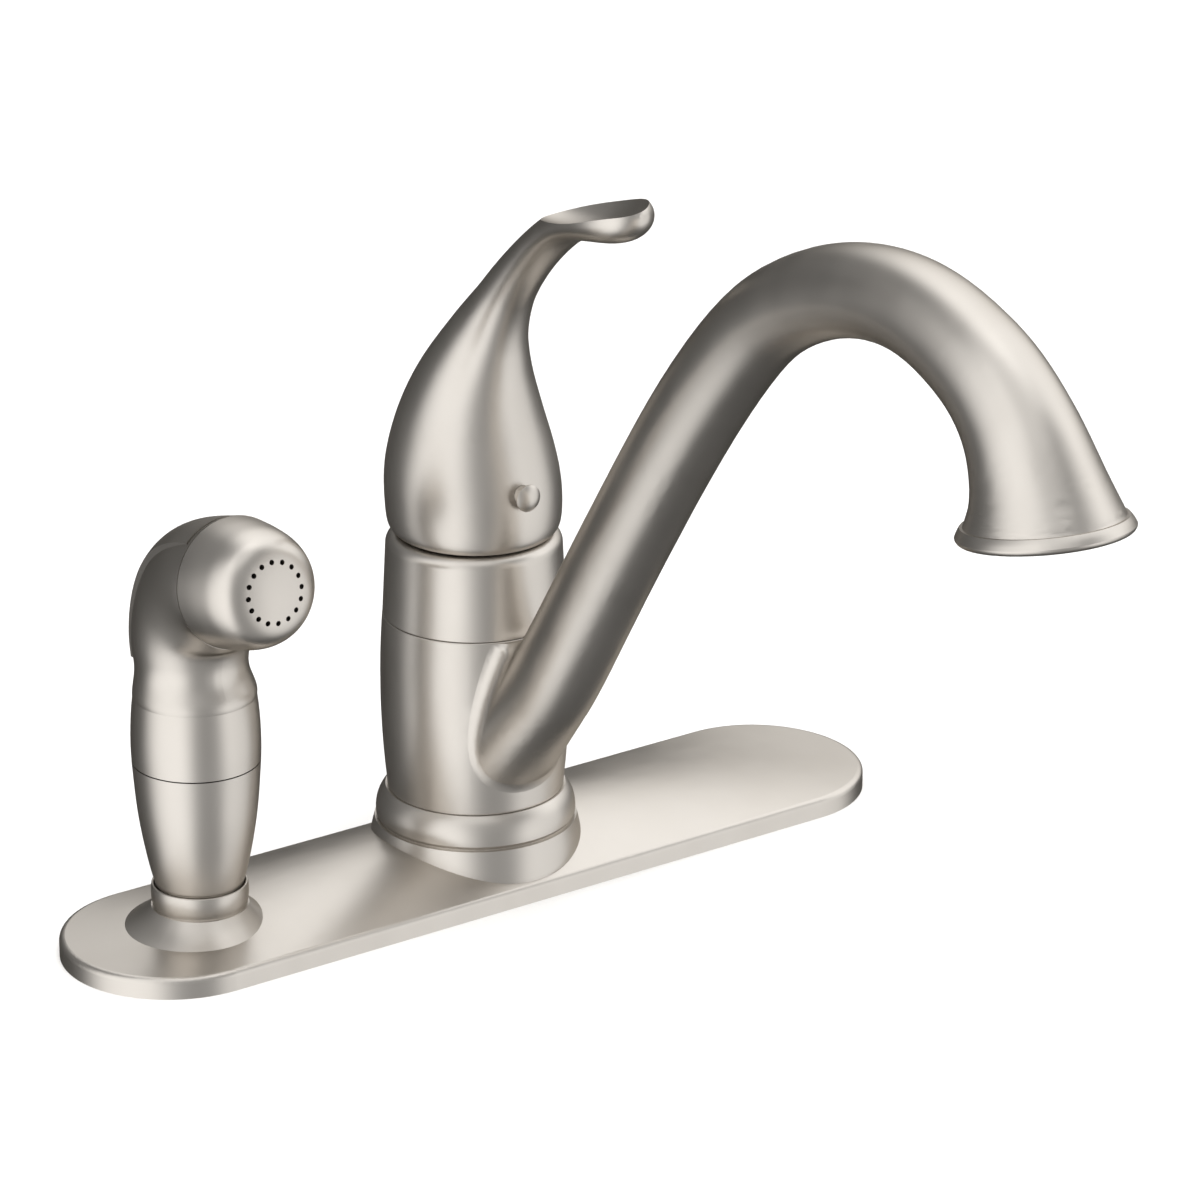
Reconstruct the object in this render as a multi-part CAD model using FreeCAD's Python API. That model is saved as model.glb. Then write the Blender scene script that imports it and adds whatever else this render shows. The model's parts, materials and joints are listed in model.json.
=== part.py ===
import FreeCAD, Part
import math
import os

V = FreeCAD.Vector
os.makedirs("parts", exist_ok=True)

# Single-handle kitchen faucet on a three-hole deck plate, with a side spray in the left hole.
# Millimetres. The origin is the centre of the deck plate on the sink deck, +X to the user's
# right, -Y towards the user, +Z up. Pieces below z = 0 lie under the deck.

# ---------------------------------------------------------------- shared clearances
RUN_GAP = 0.05          # radial gap of a turning or sliding fit
SEAT_GAP = 0.05         # radial gap of a screwed or pressed fit inside one body
FACE_GAP = 0.3          # gap between faces of bodies that move past each other
HUB_GAP = 0.12          # gap of the hub's flat faces to the bead and the collar
EDGE_ROUND = 0.4        # round of the visible edges beside a seam
SEAM = 0.4              # visible seam between two cover pieces

# ---------------------------------------------------------------- deck plate
PLATE_LENGTH = 291.7
PLATE_WIDTH = 69.9
PLATE_WALL = 2.4
PLATE_EDGE = 6.5        # height of the crown's foot, just inside the outline
PLATE_EDGE_INSET = 1.6
PLATE_ROUND = 1.8       # radius of the edge round
PLATE_RISE = 9.3        # how far the crown stands above its foot, at the centre
HOLE_PITCH = 101.6      # body axis to spray axis
PEDESTAL_FOOT = 33.5    # radius of the centre pedestal where it leaves the plate
PEDESTAL_TOP = 31.7
PEDESTAL_HEIGHT = 17.8
PEDESTAL_LEDGE = 9.0    # height of the ledge that the body flange stands on
LEDGE_THICK = 2.5
SPRAY_FOOT = 27.0       # radius of the spray pedestal at SPRAY_FOOT_Z, inside the plate
SPRAY_FOOT_Z = 5.4
SPRAY_MID = (21.6, 8.1)
SPRAY_TOP = 14.9
SPRAY_HEIGHT = 13.5
GASKET_THICK = 1.0
SUPPORT_THICK = 2.0
SUPPORT_INSET = 0.4
BOSS_WALL = 9.0

# ---------------------------------------------------------------- under the deck
DECK_GRIP = 12.0        # deck thickness at which the nuts are drawn
SHANK_R = 16.0
SHANK_BORE = 12.6
SHANK_BOTTOM = -58.0
SHANK_SOCKET = 13.0     # length of shank inside the valve body
PILOT = 8.0             # plain end of a shank, below its thread
HOLE_CLEAR = 1.5        # radial room around a shank in the plate
WASHER_R = 29.0
WASHER_THICK = 2.5
NUT_FLATS = 44.0
NUT_THICK = 10.0
TUBE_R = 4.75
TUBE_WALL = 1.0
TUBE_SOCKET = 10.0
TUBE_PITCH = 6.4        # tube axis from the body axis
TUBE_SPREAD = 16.0      # sideways step of the two supply tubes
TUBE_STRAIGHT = -62.0   # height where the supply tubes start to spread
TUBE_BEND = 24.0
TUBE_BOTTOM = -122.0
OUTLET_BOTTOM = -108.0
FITTING_FLATS = 17.0
FITTING_HEX = 8.0
FITTING_THREAD_R = 7.0
FITTING_THREAD = 12.0

# ---------------------------------------------------------------- body
FLANGE_STEP = 0.5       # how far the flange stands out past the glide ring
FLANGE_TOP = 26.0
BEAD_R = 31.2
BEAD_WIDEST = 19.2
BEAD_MID = (30.75, 23.9)
BEAD_TOP = 28.3
BEAD_TOP_R = 28.2
SPINDLE_R = 20.5
HUB_TOP = 85.7
HUB_FOOT_R = 27.5
HUB_MID = (29.4, 63.0)
HUB_TOP_R = 28.55
ROOT_ROUND = 6.0        # hollow round where the spout leaves the hub
CHAMBER_R = 22.6
CHAMBER = (52.0, 66.0)
SEAL_HEIGHTS = (48.0, 72.0)
SEAL_WIRE = 1.1
SEAL_GROOVE = 3.4
GLIDE_WALL = 3.0
HEAD_R = 18.6           # threaded top of the valve body
HEAD_TOP = 110.0
COLLAR_FOOT_R = 28.45
COLLAR_TOP_R = 27.35
COLLAR_ROUND = 4.0
COLLAR_TOP = 112.4
NUT_NECK_R = 12.5
NUT_NECK_TOP = 118.2
NUT_R = 21.6
NUT_LOW = 100.0
CARTRIDGE_R = 10.0
CARTRIDGE_BOTTOM = 54.0
CARTRIDGE_BORE = 5.2
CARTRIDGE_SEALS = (60.0, 70.0, 80.0, 90.0)
CLIP_Z = 104.0
CLIP_THICK = 1.2
STEM_R = 5.1
STEM_LOW = 66.0
STEM_NECK_R = 4.0
STEM_NECK_Z = 112.0
STEM_TOP = 126.0
STEM_PIN_Z = 122.0
STEM_PIN_R = 1.5
STEM_PIN_HALF = 8.5
OUTLET_Z = 59.0
OUTLET_R = 5.0
DIVERTER_Z = 39.0
DIVERTER_R = 4.5
DIVERTER_LENGTH = 5.5
DIVERTER_FLOOR = 4.0
DIVERTER_TRAVEL = 2.5
DIVERTER_PLUG = 3.0
DIVERTER_WIRE = 0.45
DIVERTER_TURNS = 2.5

# ---------------------------------------------------------------- spout
# The tube starts oval inside the hub. Sections: y, z, half width, half depth, and the lean of
# the section's normal from upright towards the user, in degrees.
SPOUT_ROOT = [
    (-12.5, 40.2, 18.6, 14.5, 39.5), (-20.5, 49.8, 17.2, 14.5, 39.3), (-29.2, 60.3, 15.8, 14.3, 38.5),
]
# The rest is round. Sections: y, z, radius and lean.
SPOUT_SECTIONS = [
    (-38.3, 71.6, 14.4, 37.0), (-47.3, 83.7, 14.05, 35.5),
    (-66.7, 114.2, 13.7, 32.8), (-92.2, 153.2, 13.5, 34.0), (-114.6, 185.1, 13.55, 36.5),
    (-135.4, 209.7, 13.2, 45.2), (-152.8, 224.1, 13.0, 57.0), (-175.9, 235.2, 13.1, 72.2),
    (-198.7, 239.6, 13.3, 87.0), (-218.5, 238.0, 13.7, 102.5), (-238.0, 230.6, 14.4, 119.5),
    (-249.3, 222.2, 15.1, 133.0), (-256.4, 213.8, 16.4, 146.5), (-261.2, 205.0, 18.2, 156.0),
]
OUTLET_CENTRE = (-265.95, 190.86)
OUTLET_LEAN = 10.2      # degrees that the outlet axis leans away from the body
LIP_R = 24.3
LIP_ROUND = 1.7
LIP_LINE = 4.4          # height of the fine line above the lip's underside
LIP_LINE_R = 22.3
NECK_ABOVE_LIP = 7.4
NECK_R = 20.7
LIP_INNER_R = 20.6
SPOUT_BORE = 8.5
AERATOR_R = 12.0
AERATOR_DEPTH = 4.0     # underside of the aerator above the lip
AERATOR_HEIGHT = 11.0
AERATOR_WALL = 1.6
SCREEN_THICK = 1.0

# ---------------------------------------------------------------- handle
# Sections (y, z, half width across X, half depth, slope of the section's normal from
# upright towards the user, in degrees).
HANDLE_SECTIONS = [
    (0.0, 113.5, 25.2, 25.2, 1.3), (0.0, 115.1, 26.4, 26.4, 1.2), (0.0, 118.8, 27.1, 27.1, 0.5),
    (0.3, 125.0, 27.3, 27.3, -1.0), (1.0, 131.5, 26.95, 26.95, -2.0),
    (1.6, 138.0, 25.9, 25.9, -2.0), (1.6, 144.5, 24.3, 24.3, 0.0),
    (1.1, 150.5, 22.5, 22.5, 3.5), (-0.1, 156.5, 20.5, 20.5, 8.0),
    (-1.8, 162.5, 18.25, 18.25, 13.0), (-4.1, 168.5, 15.9, 15.9, 18.0),
    (-6.9, 174.5, 13.6, 13.6, 23.0), (-9.9, 180.5, 11.6, 11.5, 27.5),
    (-13.6, 186.5, 10.2, 9.6, 31.5), (-17.7, 192.4, 9.1, 8.1, 35.0),
    (-22.1, 198.1, 8.7, 7.2, 39.0), (-29.9, 206.5, 8.8, 6.1, 46.0),
    (-39.2, 214.8, 9.5, 5.5, 54.0), (-48.0, 221.2, 10.2, 5.4, 61.0),
    (-56.5, 225.5, 10.9, 6.0, 67.0), (-65.0, 228.3, 11.3, 6.9, 71.5),
    (-72.0, 230.1, 11.0, 7.4, 74.0), (-77.6, 231.6, 9.7, 7.2, 75.0),
    (-81.5, 232.7, 7.7, 6.0, 75.0), (-83.9, 233.4, 5.2, 4.3, 75.0),
    (-85.3, 233.8, 2.8, 2.4, 75.0), (-85.8, 233.9, 0.8, 0.7, 75.0),
]
SPOON_ROLL = 13.5       # degrees that the spoon's dish rolls towards the spray
# The spoon's dish is turned about a line above its rim line (y, z).
DISH_START = (-40.0, 224.4)
DISH_END = (-85.5, 235.3)
DISH_AXIS = 10.5        # height of the turning axis above the rim line
DISH_DEPTH = 4.5
DISH_OVER = 8.0         # how far the cutter runs past both ends of the rim line
HANDLE_RIM_Z = 112.9    # lowest point of the rim, at the front
HANDLE_CAVITY_R = 23.4
HANDLE_CAVITY_TOP = 121.6
SOCKET_R = 16.0
SOCKET_TOP = 136.0
LIFT_Y = 19.8           # lift pivot, behind the axis
LIFT_Z = 118.0
LIFT_PIN_R = 1.5
LIFT_PIN_HALF = 5.4
CARRIER_R = 20.0
CARRIER_LOW = 115.0
CARRIER_TOP = 117.2
EAR_INNER = 3.2
EAR_THICK = 2.2
EAR_R = 2.0
STEM_SLOT_HALF = 4.5
SCREW_Z = 131.0
SCREW_R = 2.5
COVER_R = 4.25
COVER_STEM_R = 3.1
COVER_DOME = 1.5

# ---------------------------------------------------------------- spray
GUIDE_COLLAR_R = 14.75
GUIDE_COLLAR_TOP = 20.9
GUIDE_WALL = 0.9
GUIDE_FLOOR = 15.0
GUIDE_SHANK_R = 12.0
GUIDE_BORE = 10.0
GUIDE_BOTTOM = -36.0
GUIDE_WASHER_R = 21.0
GUIDE_NUT_FLATS = 34.0
GUIDE_NUT_THICK = 7.0
WAND_BOTTOM = 15.3
WAND_FOOT_R = 13.0
WAND_MOUTH = (13.5, 21.2)
# Points (radius, z) that the grip's side and the head's lower side pass through.
GRIP_SIDE = [(15.0, 26.8), (16.1, 32.1), (17.05, 37.4), (17.85, 42.7), (18.45, 47.9), (18.9, 53.2)]
HEAD_SIDE = [(19.6, 66.0), (19.5, 71.4), (19.2, 76.6)]
WAND_SEAM_Z = 61.0
WAND_SEAM_R = 19.45
WAND_BORE = 10.8
WAND_FLOOR = 21.5
HEAD_FOOT = (18.65, 81.7)  # radius and height where the elbow's surface starts
HEAD_NECK = (17.95, 86.6)
HEAD_WAIST = (17.1, 91.5)
HEAD_BACK = 1.4         # how far the waist lies behind the grip's axis
INLET_R = 8.0
INLET_BORE = 5.0
INLET_BOTTOM = -14.0
INLET_TOP = 32.0
INLET_COLLAR_R = 10.4
INLET_FLANGE = 2.5
INLET_THREAD_R = 7.2
HEAD_BEND = 29.1        # radius of the elbow's centreline
HEAD_BEND_Z = 96.3      # height where the elbow starts
HEAD_TILT = 9.2         # degrees that the nozzle points upwards
HEAD_START_R = 17.6
HEAD_MID_R = 19.1
HEAD_SEAM_R = 19.9
HEAD_BORE = 8.0
LEVER_HALF = 13.5
LEVER_THICK = 2.3       # depth of the lever below the head's own surface
LEVER_PROUD = 1.2       # how far the lever stands out of the head
# Share of that height at the elbow's sections, from its foot to the nozzle.
LEVER_PROUD_SHARE = (1.0, 1.0, 1.0, 1.0, 1.3, 0.95, 0.0)
LEVER_END_Z = 92.5
LEVER_END_GAP = 2.6
LEVER_SIDE_GAP = 0.45
LEVER_FRONT = 78.0      # elbow angle where the lever's front edge lies, in degrees
LEVER_PIN_ANGLE = 66.0  # elbow angle of the lever's pin
LEVER_PIN_HEIGHT = 13.4  # height of the pin above the elbow's centreline
LEVER_PIN_R = 1.2
LUG_HALF = 3.8
LUG_R = 2.4
POST_THICK = 2.4
POST_R = 1.8
LEVER_TRAVEL = 4.0      # degrees that the lever presses in
VALVE_Z = 106.0
VALVE_STEM_R = 2.5
VALVE_DISC_R = 4.2
VALVE_DISC_THICK = 2.0
VALVE_TRAVEL = 2.0
VALVE_WIRE = 0.4
VALVE_SPRING_R = 2.8
COUPLING = (40.0, 72.0)  # span of the inner tube that joins grip and head
COUPLING_BORE = 7.0
CAP_LENGTH = 22.7
CAP_CROWN = ((6.0, 0.3), (9.0, 0.68))  # points of the face's crown: radius, depth
# Points (radius, depth behind the face) that the cap's side passes through.
CAP_SIDE = [(11.4, 1.2), (13.9, 2.4), (15.6, 4.0), (16.8, 6.1), (17.8, 8.9), (18.5, 12.2),
            (19.2, 16.6)]
CAP_WALL = 2.4
CAP_FACE_THICK = 3.0
SPRAY_HOLES = 16
SPRAY_HOLE_RING = 9.1
SPRAY_HOLE_R = 0.8
INSERT_R = 12.0
INSERT_THICK = 5.0


# ================================================================ helpers
def turned(outline, x=0.0, y=0.0):
    """Solid of revolution about the upright line at x, y.

    The outline is a list of (radius, z) points. A point written ("via", r, z) is the middle
    of an arc between its two neighbours, and ("through", points) is a smooth curve between
    them that passes through the points."""
    points = outline + [outline[0]]
    edges = []
    i = 0
    while i < len(points) - 1:
        start = V(points[i][0], 0, points[i][1])
        if points[i + 1][0] == "via":
            via = V(points[i + 1][1], 0, points[i + 1][2])
            end = V(points[i + 2][0], 0, points[i + 2][1])
            edges.append(Part.Arc(start, via, end).toShape())
            i += 2
        elif points[i + 1][0] == "through":
            between = [V(r, 0, z) for r, z in points[i + 1][1]]
            end = V(points[i + 2][0], 0, points[i + 2][1])
            curve = Part.BSplineCurve()
            curve.interpolate([start] + between + [end])
            edges.append(curve.toShape())
            i += 2
        else:
            end = V(points[i + 1][0], 0, points[i + 1][1])
            edges.append(Part.LineSegment(start, end).toShape())
            i += 1
    face = Part.Face(Part.Wire(edges))
    solid = face.revolve(V(0, 0, 0), V(0, 0, 1), 360)
    solid.translate(V(x, y, 0))
    return solid


def rod(radius, low, high, x=0.0, y=0.0):
    return Part.makeCylinder(radius, high - low, V(x, y, low))


def ring(outer, inner, low, high, x=0.0, y=0.0):
    return rod(outer, low, high, x, y).cut(rod(inner, low, high, x, y))


def bar(radius, start, end):
    """Round bar between two points."""
    line = end - start
    return Part.makeCylinder(radius, line.Length, start, line)


def block(x0, x1, y0, y1, z0, z1):
    return Part.makeBox(x1 - x0, y1 - y0, z1 - z0, V(x0, y0, z0))


def hexagon(flats, low, high, x=0.0, y=0.0):
    corner = flats / math.sqrt(3)
    points = [V(x + corner * math.cos(math.radians(60 * k)),
                y + corner * math.sin(math.radians(60 * k)), low) for k in range(7)]
    return Part.Face(Part.makePolygon(points)).extrude(V(0, 0, high - low))


def torus(major, minor, z, x=0.0, y=0.0):
    return Part.makeTorus(major, minor, V(x, y, z))


def skinned(sections, around=12):
    """Solid through elliptical sections: y, z, half width across X, half depth, and the lean
    of the section's normal from upright towards -Y in degrees.

    Its side is one cubic surface. The poles are moved off the sections so that the surface
    itself passes through them."""
    swell = 3 / (2 + math.cos(2 * math.pi / around))
    rows = []
    for y, z, half_width, half_depth, lean in sections:
        a = math.radians(lean)
        across = V(half_width * swell, 0, 0)
        depth = V(0, math.cos(a), math.sin(a)) * (half_depth * swell)
        angles = [2 * math.pi * k / around for k in range(around)]
        rows.append([V(0, y, z) + across * math.cos(t) + depth * math.sin(t) for t in angles])
    last = len(rows) - 1
    poles = [rows[0], [p + (q - p) / 3 for p, q in zip(rows[0], rows[1])]]
    for i in range(1, last):
        near = zip(rows[i - 1], rows[i], rows[i + 1])
        poles.append([q - (p + r - q * 2) / 6 for p, q, r in near])
    poles.append([p + (q - p) / 3 for p, q in zip(rows[last], rows[last - 1])])
    poles.append(rows[last])
    along_knots = [float(k) for k in range(last + 1)]
    around_knots = [float(k) for k in range(around + 1)]
    surface = Part.BSplineSurface()
    surface.buildFromPolesMultsKnots(poles, [4] + [1] * (last - 1) + [4], [1] * (around + 1),
                                     along_knots, around_knots, False, True, 3, 3)
    side = surface.toShape()
    ends = [Part.Face(Part.Wire([e])) for e in side.Edges if e.isClosed()]
    shell = Part.makeShell([side] + ends)
    shell.sewShape()
    solid = Part.Solid(shell)
    if solid.Volume < 0:
        solid.reverse()
    return solid


def circle(centre, normal, radius):
    """Closed circle whose start point lies on its +X side."""
    return Part.Wire([Part.Edge(Part.Circle(centre, normal, radius))])


def helix(radius, wire, length, turns):
    """Round wire wound about +Z from z = 0."""
    path = Part.makeHelix((length - 2 * wire) / turns, length - 2 * wire, radius)
    start = path.Edges[0].valueAt(path.Edges[0].FirstParameter)
    ahead = path.Edges[0].tangentAt(path.Edges[0].FirstParameter)
    profile = Part.Wire([Part.Edge(Part.Circle(start, ahead, wire))])
    coil = Part.Wire(path.Edges).makePipeShell([profile], True, True)
    coil.translate(V(0, 0, wire))
    return coil


def save(name, *solids):
    shape = solids[0] if len(solids) == 1 else Part.makeCompound(list(solids))
    shape.exportStep(os.path.join("parts", name + ".step"))


# ================================================================ deck plate
def crown_z(x, y, edge):
    """Height of the plate's top, which rises from its edge to the middle of the plate."""
    swell = max(0.0, 1 - (2 * x / PLATE_LENGTH) ** 2) ** 2
    foot = PLATE_WIDTH / 2 - PLATE_EDGE_INSET
    return edge + PLATE_RISE * swell * (1 - (y / foot) ** 2)


def below_crown(edge):
    """Everything under the crown, down to well below the deck."""
    reach_x = PLATE_LENGTH / 2 + 4
    reach_y = PLATE_WIDTH / 2 + 3
    rows = []
    for i in range(-8, 9):
        x = reach_x * i / 8
        ys = [reach_y * j / 4 for j in range(-4, 5)]
        rows.append([V(x, y, crown_z(x, y, edge)) for y in ys])
    top = Part.BSplineSurface()
    top.interpolate(rows)
    return top.toShape().extrude(V(0, 0, -60))


def stadium(half_width, low, high, half_span):
    middle = block(-half_span, half_span, -half_width, half_width, low, high)
    for sign in (1, -1):
        middle = middle.fuse(rod(half_width, low, high, sign * half_span))
    return middle.removeSplitter()


flange_r = SPINDLE_R + GLIDE_WALL + FLANGE_STEP
half_width = PLATE_WIDTH / 2
half_span = PLATE_LENGTH / 2 - half_width
spray_x = -HOLE_PITCH
ledge_low = PEDESTAL_LEDGE - LEDGE_THICK
main_hole = SHANK_R + HOLE_CLEAR
guide_hole = GUIDE_SHANK_R + SEAT_GAP
under_gasket = GASKET_THICK + SUPPORT_THICK

skin = stadium(half_width, 0, 30, half_span).common(below_crown(PLATE_EDGE))
rim_edges = [e for e in skin.Edges
             if e.BoundBox.ZMin > PLATE_EDGE / 2 and e.BoundBox.ZLength < PLATE_EDGE / 2]
skin = skin.makeFillet(PLATE_ROUND, rim_edges)
hollow = stadium(half_width - PLATE_WALL, -1, 30, half_span)
hollow = hollow.common(below_crown(PLATE_EDGE - PLATE_WALL))
pedestal = turned([(0, ledge_low), (PEDESTAL_FOOT, ledge_low), (PEDESTAL_FOOT, ledge_low + 1.0),
                   ("via", PEDESTAL_TOP + 1.0, (PEDESTAL_HEIGHT + ledge_low) / 2 + 1.5),
                   (PEDESTAL_TOP, PEDESTAL_HEIGHT), (0, PEDESTAL_HEIGHT)])
spray_low = PLATE_EDGE - PLATE_WALL - 0.3
spray_foot = turned([(0, spray_low), (SPRAY_FOOT, spray_low), (SPRAY_FOOT, SPRAY_FOOT_Z),
                     ("via", SPRAY_MID[0], SPRAY_MID[1]),
                     (SPRAY_TOP, SPRAY_HEIGHT), (0, SPRAY_HEIGHT)], spray_x)
deck_plate = skin.cut(hollow).fuse(pedestal).fuse(spray_foot)
deck_plate = deck_plate.cut(rod(flange_r + SEAT_GAP, PEDESTAL_LEDGE, PEDESTAL_HEIGHT + 1))
deck_plate = deck_plate.cut(rod(main_hole, 0, PEDESTAL_HEIGHT))
deck_plate = deck_plate.cut(rod(guide_hole, 0, SPRAY_HEIGHT + 1, spray_x))
save("deck_plate", deck_plate)

liner_half = half_width - PLATE_WALL - SUPPORT_INSET
gasket = stadium(liner_half, 0, GASKET_THICK, half_span)
support = stadium(liner_half, GASKET_THICK, under_gasket, half_span)
support = support.fuse(rod(main_hole + BOSS_WALL, under_gasket, ledge_low))
support = support.fuse(rod(guide_hole + BOSS_WALL / 2, under_gasket, spray_low, spray_x))
for hole in (rod(main_hole, 0, ledge_low), rod(guide_hole, 0, spray_low, spray_x)):
    gasket = gasket.cut(hole)
    support = support.cut(hole)
save("deck_gasket", gasket)
save("support_plate", support)

# ================================================================ valve body and its fasteners
socket_top = PEDESTAL_LEDGE + SHANK_SOCKET
tube_top = socket_top + TUBE_SOCKET
tube_angles = {"hot": 150, "cold": 30, "spray": 270}
tube_at = {name: (TUBE_PITCH * math.cos(math.radians(a)), TUBE_PITCH * math.sin(math.radians(a)))
           for name, a in tube_angles.items()}

valve_body = turned([(0, PEDESTAL_LEDGE), (flange_r, PEDESTAL_LEDGE), (flange_r, FLANGE_TOP),
                     (SPINDLE_R, FLANGE_TOP), (SPINDLE_R, HUB_TOP), (HEAD_R, HUB_TOP),
                     (HEAD_R, HEAD_TOP), (0, HEAD_TOP)])
valve_body = valve_body.cut(rod(SHANK_R + SEAT_GAP, PEDESTAL_LEDGE, socket_top))
for x, y in tube_at.values():
    valve_body = valve_body.cut(rod(TUBE_R + SEAT_GAP, socket_top, tube_top, x, y))
valve_body = valve_body.cut(rod(CARTRIDGE_R + SEAT_GAP, CARTRIDGE_BOTTOM, HEAD_TOP))
valve_body = valve_body.cut(bar(OUTLET_R, V(0, -CARTRIDGE_R + 2, OUTLET_Z),
                                V(0, -SPINDLE_R - 1, OUTLET_Z)))
seal_major = SPINDLE_R - SEAL_WIRE
for z in SEAL_HEIGHTS:
    groove = ring(SPINDLE_R + 1, seal_major - SEAL_WIRE, z - SEAL_GROOVE / 2, z + SEAL_GROOVE / 2)
    valve_body = valve_body.cut(groove)
valve_body = valve_body.cut(bar(DIVERTER_R + RUN_GAP, V(0, DIVERTER_FLOOR, DIVERTER_Z),
                                V(0, SPINDLE_R + 1, DIVERTER_Z)))
clip_half = CLIP_THICK / 2 + SEAT_GAP
clip_slot = block(-CARTRIDGE_R - 2, CARTRIDGE_R + 2, -HEAD_R - 1, HEAD_R + 1,
                  CLIP_Z - clip_half, CLIP_Z + clip_half)
valve_body = valve_body.cut(clip_slot)
save("valve_body", valve_body)

seals = [torus(seal_major, SEAL_WIRE, z) for z in SEAL_HEIGHTS]
save("spout_seals", *seals)

glide_ring = ring(SPINDLE_R + GLIDE_WALL, SPINDLE_R + SEAT_GAP, FLANGE_TOP,
                  BEAD_TOP + HUB_GAP / 2)
save("spout_glide_ring", glide_ring)

base_ring = turned([(flange_r + SEAT_GAP, PEDESTAL_HEIGHT), (BEAD_R - 0.7, PEDESTAL_HEIGHT),
                    (BEAD_R - 0.7, PEDESTAL_HEIGHT + SEAM), (BEAD_R, BEAD_WIDEST),
                    ("via", BEAD_MID[0], BEAD_MID[1]), (BEAD_TOP_R, BEAD_TOP),
                    (flange_r + SEAT_GAP, BEAD_TOP)])
save("base_ring", base_ring)

shank = ring(SHANK_R, SHANK_BORE, SHANK_BOTTOM, socket_top)
thread_pitch = 3.0
thread_count = int((-DECK_GRIP - SHANK_BOTTOM - PILOT) / thread_pitch)
for k in range(thread_count):
    z = SHANK_BOTTOM + PILOT + 1.0 + thread_pitch * k
    vee = turned([(SHANK_R - 0.8, z), (SHANK_R + 0.2, z - 1.0), (SHANK_R + 0.2, z + 1.0)])
    shank = shank.cut(vee)
save("mounting_shank", shank)

washer_low = -DECK_GRIP - WASHER_THICK
washer = ring(WASHER_R, SHANK_R + 0.4, washer_low, -DECK_GRIP)
save("mounting_washer", washer)
nut = hexagon(NUT_FLATS, washer_low - NUT_THICK, washer_low)
nut = nut.cut(rod(SHANK_R + SEAT_GAP, washer_low - NUT_THICK, washer_low))
save("mounting_nut", nut)


def tube_path(x, y, bottom, spread):
    """Straight down from the body, a sideways step, and straight down to the bottom."""
    top = V(x, y, tube_top)
    if spread == 0:
        return Part.Wire([Part.LineSegment(top, V(x, y, bottom)).toShape()])
    side = 1 if x > 0 else -1
    turn = math.acos(1 - abs(spread) / (2 * TUBE_BEND))
    drop = TUBE_BEND * math.sin(turn)
    half = (TUBE_BEND * (1 - math.cos(turn / 2)), TUBE_BEND * math.sin(turn / 2))
    a = V(x, y, TUBE_STRAIGHT)
    a_mid = V(x + side * half[0], y, TUBE_STRAIGHT - half[1])
    b = V(x + side * spread / 2, y, TUBE_STRAIGHT - drop)
    c = V(x + side * spread, y, TUBE_STRAIGHT - 2 * drop)
    c_mid = V(x + side * (spread - half[0]), y, TUBE_STRAIGHT - 2 * drop + half[1])
    return Part.Wire([Part.LineSegment(top, a).toShape(), Part.Arc(a, a_mid, b).toShape(),
                      Part.Arc(b, c_mid, c).toShape(),
                      Part.LineSegment(c, V(c.x, y, bottom)).toShape()])


def tube(x, y, bottom, spread):
    path = tube_path(x, y, bottom, spread)
    solids = []
    for radius in (TUBE_R, TUBE_R - TUBE_WALL):
        profile = circle(V(x, y, tube_top), V(0, 0, -1), radius)
        solids.append(path.makePipeShell([profile], True, False))
    return solids[0].cut(solids[1])


def fitting(x, y, bottom):
    """Hexagon with a male thread below it, on the end of a tube."""
    hex_low = bottom + FITTING_THREAD
    body = hexagon(FITTING_FLATS, hex_low, hex_low + FITTING_HEX, x, y)
    body = body.fuse(rod(FITTING_THREAD_R, bottom, hex_low, x, y))
    body = body.cut(rod(TUBE_R + SEAT_GAP, bottom + 2, hex_low + FITTING_HEX, x, y))
    return body.cut(rod(TUBE_R - TUBE_WALL, bottom, bottom + 2, x, y))


for name in ("hot", "cold"):
    x, y = tube_at[name]
    end_x = x + math.copysign(TUBE_SPREAD, x)
    save(name + "_supply_tube", tube(x, y, TUBE_BOTTOM + 2, TUBE_SPREAD))
    save(name + "_inlet_fitting", fitting(end_x, y, TUBE_BOTTOM))
x, y = tube_at["spray"]
save("spray_outlet_tube", tube(x, y, OUTLET_BOTTOM + 2, 0))
save("spray_outlet_fitting", fitting(x, y, OUTLET_BOTTOM))

# ================================================================ diverter
plug_face = math.sqrt(SPINDLE_R ** 2 - DIVERTER_R ** 2) - 0.1
plug_back = plug_face - DIVERTER_PLUG
piston_front = DIVERTER_FLOOR + 0.3
piston = bar(DIVERTER_R, V(0, piston_front, DIVERTER_Z),
             V(0, piston_front + DIVERTER_LENGTH, DIVERTER_Z))
piston = piston.cut(ring(DIVERTER_R + 1, DIVERTER_R - 0.8, 0, 1.4).rotated(
    V(0, 0, 0), V(1, 0, 0), -90).translated(V(0, piston_front + 2.0, DIVERTER_Z)))
save("diverter_piston", piston)
spring_length = plug_back - piston_front - DIVERTER_LENGTH - DIVERTER_TRAVEL - FACE_GAP
diverter_spring = helix(DIVERTER_R - 1.2, DIVERTER_WIRE, spring_length, DIVERTER_TURNS)
diverter_spring.rotate(V(0, 0, 0), V(1, 0, 0), -90)
diverter_spring.translate(V(0, plug_back - spring_length, DIVERTER_Z))
save("diverter_spring", diverter_spring)
plug = bar(DIVERTER_R, V(0, plug_back, DIVERTER_Z), V(0, plug_face, DIVERTER_Z))
plug = plug.cut(block(-0.6, 0.6, plug_face - 1.0, plug_face + 1, DIVERTER_Z - 3, DIVERTER_Z + 3))
save("diverter_plug", plug)

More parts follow.
